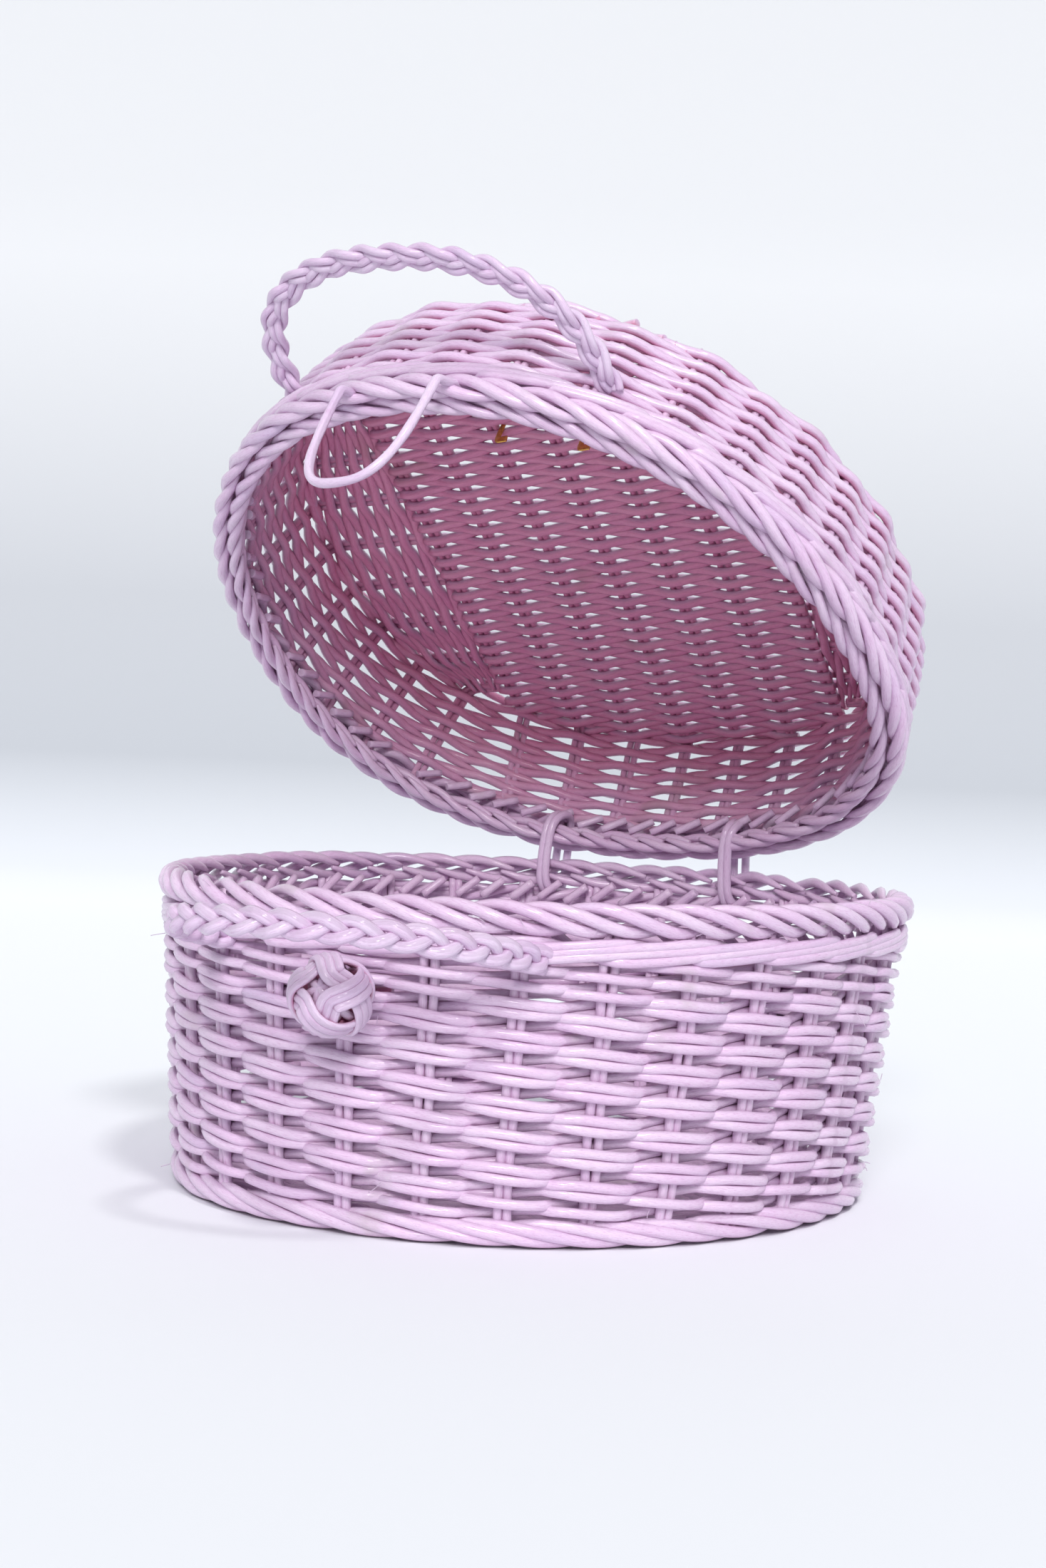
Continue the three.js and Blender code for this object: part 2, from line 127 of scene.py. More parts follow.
def fitted(points):
    """Half width and sideways shift of the oval that a CAD ring's points lie on."""
    low, high = points[:, 0].min(), points[:, 0].max()
    half = (high - low) / 2 / UNIT_HALF
    return half, (high + low) / 2 - half * UNIT_MIDDLE


def share_at_x(half, x, back, shift=0.0):
    """Share of the way round where the oval's front or back reaches x."""
    shares = np.linspace(0.02, 0.48, 900) if back else np.linspace(0.52, 0.98, 900)
    return float(shares[np.argmin(np.abs(oval(half, shares, shift)[0] - x))])


def oval_side_x(half, y, right, shift=0.0):
    """X where the oval's left or right side reaches y."""
    shares = np.linspace(-0.25, 0.25, 900) if right else np.linspace(0.25, 0.75, 900)
    x, at = oval(half, shares, shift)
    order = np.argsort(at)
    return np.interp(y, at[order], x[order])


FOOT = node_points("base_foot_border")
WALL = node_points("base_wall")
WALE = node_points("base_upper_wale")
RIM = node_points("base_rim_border")
FOOT_HALF, FOOT_SHIFT = fitted(FOOT)
FOOT_TOP = FOOT[:, 2].max()
WALL_TOP = WALL[:, 2].max()
WALE_LOW, WALE_TOP = WALE[:, 2].min(), WALE[:, 2].max()
RIM_HALF = fitted(RIM)[0]
RIM_RADIUS = np.ptp(RIM[:, 2]) / 2
RIM_Z = RIM[:, 2].min() + RIM_RADIUS
ROPE_HALF = RIM_HALF - RIM_RADIUS

LID_WALL = node_points("lid_wall", closed=True)
LID_LOW, LID_TOP = LID_WALL[:, 2].min(), LID_WALL[:, 2].max()
LID_LOW_HALF = fitted(LID_WALL[LID_WALL[:, 2] < LID_LOW + 0.5])[0]
LID_CORNER_Z = LID_TOP - 7  # where the wall starts to bend over into the top
_corner = np.abs(LID_WALL[:, 2] - LID_CORNER_Z) < 0.5
LID_TOP_HALF, LID_TOP_SHIFT = fitted(LID_WALL[_corner])


def base_outer(z):
    """Half width and shift of the base's outer face at a height."""
    share = (z - FOOT_TOP / 2) / (RIM_Z - FOOT_TOP / 2)
    return FOOT_HALF + (RIM_HALF - 1.5 - FOOT_HALF) * share, FOOT_SHIFT * (1 - share)


def lid_outer(z):
    """Half width and shift of the lid's outer face at a height, lid closed."""
    share = np.clip((z - LID_LOW) / (LID_CORNER_Z + 3.5 - LID_LOW), 0, 1)
    return LID_LOW_HALF - (LID_LOW_HALF - LID_TOP_HALF) * share**1.6, LID_TOP_SHIFT * share


# ---------------------------------------------------------------- rods
def wander(share, amount, low=3, high=17):
    """A smooth random wobble that closes on itself after one lap."""
    total = np.zeros_like(share)
    for _ in range(6):
        turns = RNG.integers(low, high)
        total += math.sin(RNG.uniform(0, TAU)) * np.sin(TAU * turns * share + RNG.uniform(0, TAU))
    return amount * total / 1.6


class Rods:
    """Round or flat rods gathered into one mesh."""

    def __init__(self):
        self.points, self.quads, self.caps = [], [], []
        self.rod, self.along, self.around, self.away = [], [], [], []
        self.count = 0

    def add(self, path, radius, sides=8, closed=False, flat=1.0, hint=None):
        """path is (n, 3); radius a number or (n,); flat scales the thickness along hint."""
        path = np.asarray(path, float)
        n = len(path)
        radius = np.broadcast_to(np.asarray(radius, float), (n,))
        ahead = np.roll(path, -1, 0) if closed else np.vstack([path[1:], 2 * path[-1] - path[-2]])
        behind = np.roll(path, 1, 0) if closed else np.vstack([2 * path[0] - path[1], path[:-1]])
        tangent = ahead - behind
        tangent /= np.maximum(np.linalg.norm(tangent, axis=1, keepdims=True), 1e-9)
        if hint is None:
            normal = self.transported(tangent)
        else:
            normal = np.broadcast_to(np.asarray(hint, float), (n, 3)).copy()
            normal -= tangent * np.sum(normal * tangent, 1, keepdims=True)
            normal /= np.maximum(np.linalg.norm(normal, axis=1, keepdims=True), 1e-9)
        side = np.cross(tangent, normal)
        angle = np.arange(sides) / sides * TAU
        away = normal[:, None, :] * (np.cos(angle) * flat)[None, :, None]
        away = away + side[:, None, :] * np.sin(angle)[None, :, None]
        start = self.count
        self.points.append((path[:, None, :] + away * radius[:, None, None]).reshape(-1, 3))
        self.away.append(away.reshape(-1, 3))
        run = np.r_[0, np.cumsum(np.linalg.norm(np.diff(path, axis=0), axis=1))]
        self.along.append(np.repeat(run + RNG.uniform(0, 3000), sides))
        self.rod.append(np.full(n * sides, RNG.random()))
        self.around.append(np.tile(angle, n))
        self.count += n * sides
        laps = n if closed else n - 1
        i = np.arange(laps)[:, None]
        j = np.arange(sides)[None, :]
        a = start + i * sides + j
        b = start + i * sides + (j + 1) % sides
        c = start + (i + 1) % n * sides + (j + 1) % sides
        d = start + (i + 1) % n * sides + j
        self.quads.append(np.stack([a, b, c, d], -1).reshape(-1, 4))
        if not closed:
            self.caps.append(start + np.arange(sides)[::-1])
            self.caps.append(start + (n - 1) * sides + np.arange(sides))

    @staticmethod
    def transported(tangent):
        """Normals carried along a path without twisting."""
        normal = np.zeros_like(tangent)
        first = np.cross(tangent[0], [0.3, 0.2, 1.0])
        normal[0] = first / np.linalg.norm(first)
        for i in range(1, len(tangent)):
            step = normal[i - 1] - tangent[i] * (normal[i - 1] @ tangent[i])
            normal[i] = step / max(np.linalg.norm(step), 1e-9)
        return normal

    def build(
        self, name, material, slot, body, replaced=(), matrix=None, ends=None, core=None, mouth=None
    ):
        """One object from the rods; given ends, (body, start, end), it is left unattached; the values
        in ends are not used.

        Surfaces that look towards core, a point inside the piece, are marked as inner for painted
        shade, and more weakly so within some 40 mm above the height of its mouth.
        """
        points = np.concatenate(self.points)
        inner = np.zeros(len(points))
        # Painted shade: inner grows the more a surface faces core, and is weaker near the mouth.
        if core is not None:
            inwards = np.asarray(core, float) - points
            inwards /= np.linalg.norm(inwards, axis=1, keepdims=True)
            inner = np.clip(0.35 + 1.1 * np.sum(inwards * np.concatenate(self.away), 1), 0, 1)
            if mouth is not None:
                inner *= 0.4 + 0.6 * np.clip((np.concatenate(self.points)[:, 2] - mouth) / 40, 0, 1)
        if matrix is not None:
            points = moved(points, matrix)
        quads = np.concatenate(self.quads)
        caps = np.concatenate(self.caps) if self.caps else np.zeros(0, int)
        sizes = [len(cap) for cap in self.caps]
        mesh = bpy.data.meshes.new(name)
        mesh.vertices.add(len(points))
        mesh.vertices.foreach_set("co", (points * MM).astype(np.float32).ravel())
        corners = np.r_[quads.ravel(), caps].astype(np.int32)
        totals = np.r_[np.full(len(quads), 4), np.array(sizes, int)].astype(np.int32)
        starts = np.r_[0, np.cumsum(totals)[:-1]].astype(np.int32)
        mesh.loops.add(len(corners))
        mesh.loops.foreach_set("vertex_index", corners)
        mesh.polygons.add(len(totals))
        mesh.polygons.foreach_set("loop_start", starts)
        mesh.polygons.foreach_set("loop_total", totals)
        smooth = np.r_[np.ones(len(quads), bool), np.zeros(len(sizes), bool)]
        mesh.polygons.foreach_set("use_smooth", smooth)
        mesh.update()
        mesh.validate()
        # inner carries the painted inside shade to the material.
        marks = {"rod": self.rod, "along": self.along, "around": self.around, "inner": [inner]}
        for label, values in marks.items():
            layer = mesh.attributes.new(label, "FLOAT", "POINT")
            layer.data.foreach_set("value", np.concatenate(values).astype(np.float32))
        mesh.materials.append(material)
        piece = bpy.data.objects.new(name, mesh)
        bpy.context.scene.collection.objects.link(piece)
        if ends is None:
            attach(piece, body)
        else:
            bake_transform(piece)
        if replaced:
            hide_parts(*replaced)
        return piece


# ---------------------------------------------------------------- materials
BLACK, WHITE = (0, 0, 0), (1, 1, 1)


class Graph:
    """Shorthand for the nodes that the materials are made of."""

    def __init__(self, tree):
        self.nodes, self.links = tree.nodes, tree.links

    def put(self, value, socket):
        """Set a socket to a number or a colour, or link another node's output to it."""
        if isinstance(value, (int, float)):
            socket.default_value = value
        elif isinstance(value, tuple):
            socket.default_value = (*value, 1)
        else:
            self.links.new(value, socket)

    def place(self):
        return self.nodes.new("ShaderNodeTexCoord").outputs["Object"]

    def noise(self, vector, scale, detail=3.0, rough=0.6):
        node = self.nodes.new("ShaderNodeTexNoise")
        node.inputs["Scale"].default_value = scale
        node.inputs["Detail"].default_value = detail
        node.inputs["Roughness"].default_value = rough
        self.links.new(vector, node.inputs["Vector"])
        return node.outputs[0]

    def ramp(self, value, stops):
        """Colours at positions from 0 to 1; a plain number in stops is a grey."""
        node = self.nodes.new("ShaderNodeValToRGB")
        points = node.color_ramp.elements
        while len(points) < len(stops):
            points.new(0.5)
        for point, (position, colour) in zip(points, stops):
            point.position = position
            point.color = (*colour, 1) if isinstance(colour, tuple) else (colour, colour, colour, 1)
        self.links.new(value, node.inputs[0])
        return node.outputs[0]

    def mix(self, factor, first, second, blend="MIX"):
        node = self.nodes.new("ShaderNodeMix")
        node.data_type = "RGBA"
        node.blend_type = blend
        for value, index in ((factor, 0), (first, 6), (second, 7)):
            self.put(value, node.inputs[index])
        return node.outputs[2]

    def maths(self, operation, first, second=0):
        node = self.nodes.new("ShaderNodeMath")
        node.operation = operation
        self.put(first, node.inputs[0])
        self.put(second, node.inputs[1])
        return node.outputs[0]

    def combined(self, *values):
        node = self.nodes.new("ShaderNodeCombineXYZ")
        for value, socket in zip(values, node.inputs):
            self.links.new(value, socket)
        return node.outputs[0]

    def named(self, label):
        node = self.nodes.new("ShaderNodeAttribute")
        node.attribute_type = "GEOMETRY"
        node.attribute_name = label
        return node.outputs["Fac"]


def shader(name, build):
    material = bpy.data.materials.new(name)
    material.use_nodes = True
    graph = Graph(material.node_tree)
    graph.nodes.clear()
    output = graph.nodes.new("ShaderNodeOutputMaterial")
    surface = graph.nodes.new("ShaderNodeBsdfPrincipled")
    graph.links.new(surface.outputs[0], output.inputs[0])
    build(graph, surface)
    return material


CREVICE = 0.0045  # metres over which a crevice counts as shut, for the painted crevice shade
STREAK_TINT = (0.84, 0.70, 0.81)
# Painted shade and painted pink reflection, multiplied into surfaces marked inner.
PAINTED_INSIDE_SHADE = (0.97, 0.48, 0.58)


def painted(name, light, bare, bare_share, rough):
    """Glossy streaky paint on a rod: lengthwise grain, painted shade in the crevices, and painted shade
    and reflection on inner surfaces.
    """

    def build(graph, surface):
        rod, along, around, inner = map(graph.named, ("rod", "along", "around", "inner"))
        rod_offset = graph.maths("MULTIPLY", rod, 90)
        lengthwise = graph.combined(
            graph.maths("MULTIPLY", along, 0.035),
            graph.maths("SINE", around),
            graph.maths("ADD", graph.maths("COSINE", around), rod_offset),
        )
        place = graph.place()
        grain = graph.noise(lengthwise, 9.0, 4.0, 0.7)
        patch = graph.noise(place, 26.0, 3.0, 0.6)
        fleck = graph.noise(place, 900.0, 2.0, 0.5)
        dark = tuple(c * tint for c, tint in zip(light, STREAK_TINT))
        tone = graph.mix(graph.ramp(grain, [(0.34, BLACK), (0.5, WHITE)]), dark, light)

        stretch = graph.combined(graph.maths("MULTIPLY", along, 0.016), rod_offset)
        shades = [(0.25, (0.88, 0.88, 0.93)), (0.42, (0.99, 0.93, 0.98))]
        shades += [(0.55, (1.0, 1.0, 1.0)), (0.75, (1.06, 1.1, 1.06))]
        coat = graph.ramp(graph.noise(stretch, 1.0, 2.0), shades)
        tone = graph.mix(1.0, tone, coat, "MULTIPLY")

        low = 1 - bare_share
        worn = graph.ramp(patch, [(low - 0.06, BLACK), (low + 0.04, WHITE)])
        tone = graph.mix(graph.maths("MULTIPLY", worn, grain), tone, bare)

        # Painted shade: the crevice shade colour is mixed in where ambient occlusion finds rods close
        # together, more strongly on inner surfaces.
        crevice = graph.nodes.new("ShaderNodeAmbientOcclusion")
        crevice.samples = 4
        crevice.inputs["Distance"].default_value = CREVICE
        shut = graph.ramp(crevice.outputs["AO"], [(0.05, WHITE), (0.5, BLACK)])
        strength = graph.maths("ADD", graph.maths("MULTIPLY", inner, 0.5), 0.34)
        tone = graph.mix(graph.maths("MULTIPLY", shut, strength), tone, PAINTED_CREVICE_SHADE)
        # Painted shade and reflection: inner surfaces are multiplied by the inside tint.
        tone = graph.mix(inner, tone, PAINTED_INSIDE_SHADE, "MULTIPLY")
        graph.links.new(tone, surface.inputs["Base Color"])

        gloss = graph.ramp(patch, [(0.3, rough - 0.06), (0.7, rough + 0.12)])
        graph.links.new(gloss, surface.inputs["Roughness"])
        surface.inputs["Specular IOR Level"].default_value = 0.5
        surface.inputs["Coat Weight"].default_value = 0.5
        surface.inputs["Coat Roughness"].default_value = 0.13
        bump = graph.nodes.new("ShaderNodeBump")
        bump.inputs["Strength"].default_value = 0.65
        bump.inputs["Distance"].default_value = 0.0008
        graph.links.new(graph.mix(0.3, grain, fleck), bump.inputs["Height"])
        graph.links.new(bump.outputs[0], surface.inputs["Normal"])

    return shader(name, build)


def brass_look(graph, surface):
    smear = graph.noise(graph.place(), 700.0)
    colour = graph.ramp(smear, [(0.3, (0.62, 0.33, 0.06)), (0.7, (0.85, 0.55, 0.16))])
    graph.links.new(colour, surface.inputs["Base Color"])
    graph.links.new(graph.ramp(smear, [(0.3, 0.28), (0.7, 0.42)]), surface.inputs["Roughness"])
    surface.inputs["Metallic"].default_value = 0.9


# Painted shade: the colour laid into the crevices between rods.
PAINTED_CREVICE_SHADE = (0.54, 0.16, 0.40)
WILLOW = painted("painted_willow", (0.81, 0.63, 0.825), (0.56, 0.47, 0.52), 0.32, 0.34)
CANE = painted("painted_cane", (0.80, 0.645, 0.835), (0.66, 0.58, 0.62), 0.3, 0.32)
BRASS = shader("brass", brass_look)

# ---------------------------------------------------------------- base
BASE_STAKES = 28
STAKE_PHASE = 0.1  # how far the first stake is past share 0, in stake spacings
ROD = 1.95  # a plain rod's radius
PAIR_ROD = 2.2  # radius of the doubled weavers
PAIR_ROWS = 12
SINGLE_PITCH = 3.5
SWING = 3.75  # how far a weaver passes outside and inside the line of the stakes
SLOPE = 1.2  # how far a weaver has fallen or risen halfway to the next stake


def base_ring(rods, z, radius, parity, doubled=False, samples=9):
    """One lap of a weaver, or of two lying together, sloping down to the right at each stake."""
    count = BASE_STAKES * samples
    share = np.arange(count) / count
    phase = math.pi * (BASE_STAKES * share - STAKE_PHASE + parity)
    outer, shift = base_outer(z)
    swing = SWING * signed_power(np.cos(phase), 0.5) + wander(share, 0.2)
    level = z - SLOPE * np.sin(phase) + wander(share, 0.3)
    for spread in (-1, 1) if doubled else (0,):
        pinch = 1 - 0.3 * np.sin(phase) ** 4
        height = level + spread * (radius - 0.08) * pinch + wander(share, 0.1)
        out = swing + spread * 0.5 * np.sin(phase) ** 2
        x, y = oval(outer - ROD - SWING + out, share, shift)
        thick = radius * (1 + wander(share, 0.03))
        rods.add(np.stack([x, y, height], 1), thick, closed=True, hint=(0, 0, 1))


def base_weave():
    rods = [Rods() for _ in range(3)]
    single_low = [FOOT_TOP + 2.4, FOOT_TOP + 6.2]
    single_high = [WALL_TOP - 1.9 - SINGLE_PITCH * k for k in range(4)][::-1]
    low, high = FOOT_TOP + 8.1, single_high[0] - 1.9
    pitch = (high - low) / PAIR_ROWS
    for k, z in enumerate(single_low):
        base_ring(rods[0], z, ROD + 0.2, k)
    for k in range(PAIR_ROWS):
        base_ring(rods[k * 3 // PAIR_ROWS], low + pitch * (k + 0.5), PAIR_ROD, k, doubled=True)
    for k, z in enumerate(single_high):
        base_ring(rods[2], z, ROD + 0.1, k)
    for k, group in enumerate(rods):
        replaced = ["base_wall"] if k == 0 else ()
        group.build(f"base_weave_{k + 1}", WILLOW, "painted_willow", "base", replaced)


def base_stakes():
    rods = Rods()
    for k in range(BASE_STAKES):
        share = (k + STAKE_PHASE) / BASE_STAKES
        for side in (-1, 1):
            z = np.linspace(3, WALE_TOP + 3, 30)
            outer, shift = base_outer(z)
            bend = wander(z / 260, 0.5, 1, 6)
            beside = side * 1.95 / (UNIT_LENGTH * 160)
            x, y = oval(outer - ROD - SWING, share + beside + bend / 1000, shift)
            rods.add(np.stack([x, y, z], 1), 2.0 * (1 + wander(z / 260, 0.04)), hint=(0.7, 0.7, 0))
    names = [name for name in frame["nodes"] if name.startswith("base_stake_")]
    rods.build("base_stakes", WILLOW, "painted_willow", "base", names)


def strands(rods, half, z, shift, across, high, count, turn, radius, start=165, sweep=330, dive=0.3):
    """A twisted border: strands that come over the top, slope down outside and tuck under.

    across and high are the border's half sizes, turn is how far along it a strand runs in a
    whole turn, start and sweep are in degrees, and dive is how deep its ends tuck in.
    """
    for k in range(count):
        u = np.linspace(0, 1, 40)
        ends = np.abs(2 * u - 1)
        angle = np.radians(start - sweep * u)
        share = (k + 0.3 * RNG.uniform(-0.5, 0.5)) / count
        share = share + u * turn * sweep / 360 / (UNIT_LENGTH * half)
        scale = 1 - dive * ends**3 + 0.05 * RNG.uniform(-1, 1)
        x, y = oval(half + across * scale * np.cos(angle), share, shift)
        height = z + high * scale * np.sin(angle)
        thick = radius * RNG.uniform(0.95, 1.06) * (1 - 0.6 * ends**3)
        rods.add(np.stack([x, y, height], 1), thick, hint=(0, 0, 1))


def wale(rods, z, rise, half, shift, radius, reach=4, dwell=0.8, stakes=BASE_STAKES, phase=STAKE_PHASE):
    """Rods that each pass outside all but one of reach stakes, climbing, and then behind it."""
    for k in range(reach):
        count = stakes * 7
        share = np.arange(count) / count
        p = np.mod((stakes * share - phase - k) / reach, 1)
        inside = np.exp(-(((p - (1 + dwell) / 2) / ((1 - dwell) * 0.5)) ** 2) * 1.4)
        climb = np.where(p < dwell, p / dwell - 0.5, 0.5 - (p - dwell) / (1 - dwell))
        kernel = np.hanning(7)[1:-1] / np.hanning(7).sum()
        climb = np.convolve(np.r_[climb[-2:], climb, climb[:2]], kernel, "valid")
        out = SWING * (1 - 2 * inside)
        x, y = oval(half - ROD - SWING + out, share, shift)
        height = z + rise * climb + wander(share, 0.25)
        thick = radius * (1 + wander(share, 0.03))
        rods.add(np.stack([x, y, height], 1), thick, closed=True, hint=(0, 0, 1))


BORDER_STRANDS = 54
STUBS = 66
STUB_SLANT = 11


def stubs(rods, half, low, high, radius):
    """Cut rod ends leaning past each other on the inner side of a border."""
    for k in range(STUBS):
        if RNG.random() < 0.06:
            continue
        share = (k + RNG.uniform(-0.12, 0.12)) / STUBS
        u = np.linspace(0, 1, 6)
        extent = UNIT_LENGTH * half
        inward = RNG.uniform(0.4, 1.6) * (1 - u)
        x, y = oval(half - inward, share - STUB_SLANT * u / extent)
        z = low + (high - low) * u + RNG.uniform(-0.8, 0.8)
        rods.add(np.stack([x, y, z], 1), radius * RNG.uniform(0.85, 1.1), hint=(0, 0, 1))


def base_borders():
    rim = Rods()
    depth = RIM_RADIUS - 2.4
    strands(
        rim, ROPE_HALF, RIM_Z + 0.4, 0, across=depth, high=depth,
        count=BORDER_STRANDS, turn=84, radius=2.5, dive=0.5,
    )
    rim.build("base_rim", WILLOW, "painted_willow", "base", ["base_rim_border"])
    upper = Rods()
    middle = (WALE_LOW + WALE_TOP) / 2
    outer, shift = base_outer(middle)
    wale(upper, middle + 0.4, rise=8.4, half=outer + 0.6, shift=shift, radius=2.1)
    stubs(upper, ROPE_HALF - 7.2, RIM_Z - 13, RIM_Z - 4.5, radius=2.05)
    upper.build("base_wale", WILLOW, "painted_willow", "base", ["base_upper_wale"])
    foot = Rods()
    strands(
        foot, FOOT_HALF - 5.5, FOOT_TOP / 2 + 0.4, FOOT_SHIFT, across=3.2, high=3.6,
        count=39, turn=118, radius=2.5, start=140, sweep=300, dive=0.45,
    )
    foot.build("base_foot", WILLOW, "painted_willow", "base", ["base_foot_border"])


FLAT_ROD = 2.17
FLAT_PITCH = 4.0


def flat_weave(rods, half, shift, z, lean, centre, pitch, swing, seam_left, seam_right):
    """Weavers along X over leaning stake pairs; each row runs from one seam to the other."""
    rows = int(2 * half * DEPTH / FLAT_PITCH)
    y_low = oval(half, 0.75, shift)[1] + 4
    y_high = oval(half, 0.25, shift)[1] - 4
    for row in range(rows):
        y = y_low + (y_high - y_low) * row / (rows - 1)
        left = max(seam_left(y), float(oval_side_x(half, y, False, shift)))
        right = min(seam_right(y), float(oval_side_x(half, y, True, shift)))
        if right - left < 25:
            continue
        x = np.arange(left, right + 2.4, 2.5)
        x[-1] = right
        along = (x - centre + lean * y) / pitch
        level = z - swing * signed_power(np.cos(math.pi * (along + row)), 1.7)
        wobble = wander(x / 700, 0.25, 2, 14)
        depth = y + wobble + 0.35 * np.sin(math.pi * (along + row))
        rods.add(np.stack([x, depth, level], 1), FLAT_ROD * RNG.uniform(0.96, 1.05), hint=(0, 1, 0))


FLOOR_STAKES = 9
FLOOR_PITCH = 30


def base_floor():
    rods = Rods()
    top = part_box("base_floor")[1][2] / MM
    half = FOOT_HALF - 10
    z = top - 0.5 + 1.6
    past_edge = 400
    left, right = (lambda _y: -past_edge), (lambda _y: past_edge)
    flat_weave(
        rods, half, FOOT_SHIFT, z, lean=0, centre=0,
        pitch=FLOOR_PITCH, swing=2.3, seam_left=left, seam_right=right,
    )
    for k in range(FLOOR_STAKES):
        x = (k - (FLOOR_STAKES - 1) // 2) * FLOOR_PITCH
        ends = (share_at_x(half - 3, x, back, FOOT_SHIFT) for back in (False, True))
        low, high = (oval(half, share, FOOT_SHIFT)[1] for share in ends)
        for side in (-1, 1):
            y = np.linspace(low, high, 30)
            line = np.stack([np.full(30, x + side * 1.7), y, np.full(30, z)], 1)
            rods.add(line, 1.6, hint=(0, 0, 1))
    rods.build("base_floor_weave", WILLOW, "painted_willow", "base", ["base_floor"])


# ---------------------------------------------------------------- knob
KNOB_CANE = 1.95
KNOB_LANES = 3.35  # between the middles of two canes lying side by side
KNOB_REACH = math.radians(57)  # how far from the equator the plait swings
KNOB_SPIN = math.radians(38)


def knob():
    """A Turk's head of three canes round a ball, with coils inside and a tail through the wall."""
    low, high = node_points("knob_ball").min(0), node_points("knob_ball").max(0)
    centre, radius = (low + high) / 2, (high[0] - low[0]) / 2
    pole = Vector((0.12, -0.94, 0.31)).normalized()
    sideways = pole.cross(Vector((0, 0, 1))).normalized()
    upward = sideways.cross(pole)
    first = sideways * math.cos(KNOB_SPIN) + upward * math.sin(KNOB_SPIN)
    second = pole.cross(first)
    basis = np.array([first, second, pole])
    steps = 420
    turn = np.arange(steps) / steps * 3 * TAU
    rods = Rods()
    latitude = KNOB_REACH * np.cos(4 * turn / 3)
    level = radius - 2.4 + 1.15 * np.sin(8 * turn / 3)
    flat = [np.cos(latitude) * np.cos(turn), np.cos(latitude) * np.sin(turn), np.sin(latitude)]
    middle = np.stack(flat, 1) @ basis
    tangent = np.roll(middle, -1, 0) - np.roll(middle, 1, 0)
    tangent /= np.linalg.norm(tangent, axis=1, keepdims=True)
    across = np.cross(tangent, middle)
    for lane in (-1, 0, 1):
        direction = middle * level[:, None] + across * lane * KNOB_LANES
        direction *= (level / np.linalg.norm(direction, axis=1))[:, None]
        rods.add(centre + direction, KNOB_CANE, closed=True, flat=0.7, hint=middle)
    for tilt in (0.0, 1.05, 2.1):
        angle = np.linspace(0, TAU, 40)[:-1]
        lean = first * math.cos(tilt) + second * math.sin(tilt)
        coil = np.outer(np.cos(angle), lean) + np.outer(np.sin(angle), pole)
        rods.add(centre + coil * (radius - 6.2), 1.9, closed=True)
    tie = node_points("knob_tie")
    start = np.array([centre[0], centre[1] + radius * 0.7, centre[2]])
    end = np.array([centre[0], tie[:, 1].max() - 1.5, centre[2]])
    rods.add(np.linspace(start, end, 6), 1.9)
    u = np.linspace(-1, 1, 14)
    bar = np.stack([centre[0] + 9 * u, end[1] + 0.8 * u**2, centre[2] + 1.2 * u], 1)
    rods.add(bar, 1.9)
    # Painted shade: cane faces turned towards the ball's centre are marked inner and darkened.
    rods.build("knob_weave", CANE, "painted_cane", "base", ["knob_ball", "knob_tie"], core=centre)


# ---------------------------------------------------------------- braids and loops
def resampled(points, step):
    run = np.r_[0, np.cumsum(np.linalg.norm(np.diff(points, axis=0), axis=1))]
    count = max(int(run[-1] / step), 8)
    at = np.linspace(0, run[-1], count)
    return np.stack([np.interp(at, run, points[:, k]) for k in range(3)], 1), at


def braid(points, plane, reach, lift, period, canes, cane, name, body, replaced, matrix=None, hand=1):
    """A three-strand plait along points, in a plane with that normal.

    Its broad side looks along the normal; a hand of -1 turns it to look outward instead.
    """
    path, run = resampled(points, 0.9)
    tangent = np.gradient(path, axis=0)
    tangent /= np.linalg.norm(tangent, axis=1, keepdims=True)
    normal = np.asarray(plane, float) - tangent * (tangent @ np.asarray(plane, float))[:, None]
    normal /= np.linalg.norm(normal, axis=1, keepdims=True)
    side = np.cross(tangent, normal)
    if hand < 0:
        normal, side = side, -normal
    rods = Rods()
    for strand in range(3):
        angle = TAU * (run / period + strand / 3)
        aside, above = reach * np.sin(angle), hand * lift * np.sin(2 * angle)
        centre = path + (side * aside[:, None] + normal * above[:, None])
        heading = np.gradient(centre, axis=0)
        heading /= np.linalg.norm(heading, axis=1, keepdims=True)
        beside = np.cross(normal, heading)
        for lane in range(canes):
            line = centre + beside * ((lane - (canes - 1) / 2) * cane * 1.86)
            line += np.stack([wander(run / 500, 0.14, 3, 25) for _ in range(3)], 1)
            rods.add(line, cane * RNG.uniform(0.95, 1.06), hint=normal, flat=0.95)
    rods.build(name, CANE, "painted_cane", body, replaced, matrix)


def arch(node, closed, reach, lift, half_span, fullness):
    """Centre line of a handle, left to right, its ends at the depth and height of the CAD's."""
    points = node_points(node, closed)
    middle_x = (points[:, 0].min() + points[:, 0].max()) / 2
    sides = [points[points[:, 0] < middle_x], points[points[:, 0] > middle_x]]
    a, b = (side[side[:, 1] > side[:, 1].max() - 3].mean(0) for side in sides)
    a[2] = b[2] = (a[2] + b[2]) / 2
    t = np.linspace(math.pi, 0, 240)
    power = 2 / fullness
    across = signed_power(np.cos(t), power)
    out = reach * np.sin(t).clip(0) ** power
    middle = (a + b) / 2
    x = middle[0] + half_span * across
    y = middle[1] + (b[1] - a[1]) / 2 * across - out * math.cos(lift)
    z = middle[2] + out * math.sin(lift)
    line = np.stack([x, y, z], 1)
    through_wall = np.array([0, 9.0, -1.0])
    return np.vstack([line[0] + through_wall, line, line[-1] + through_wall])


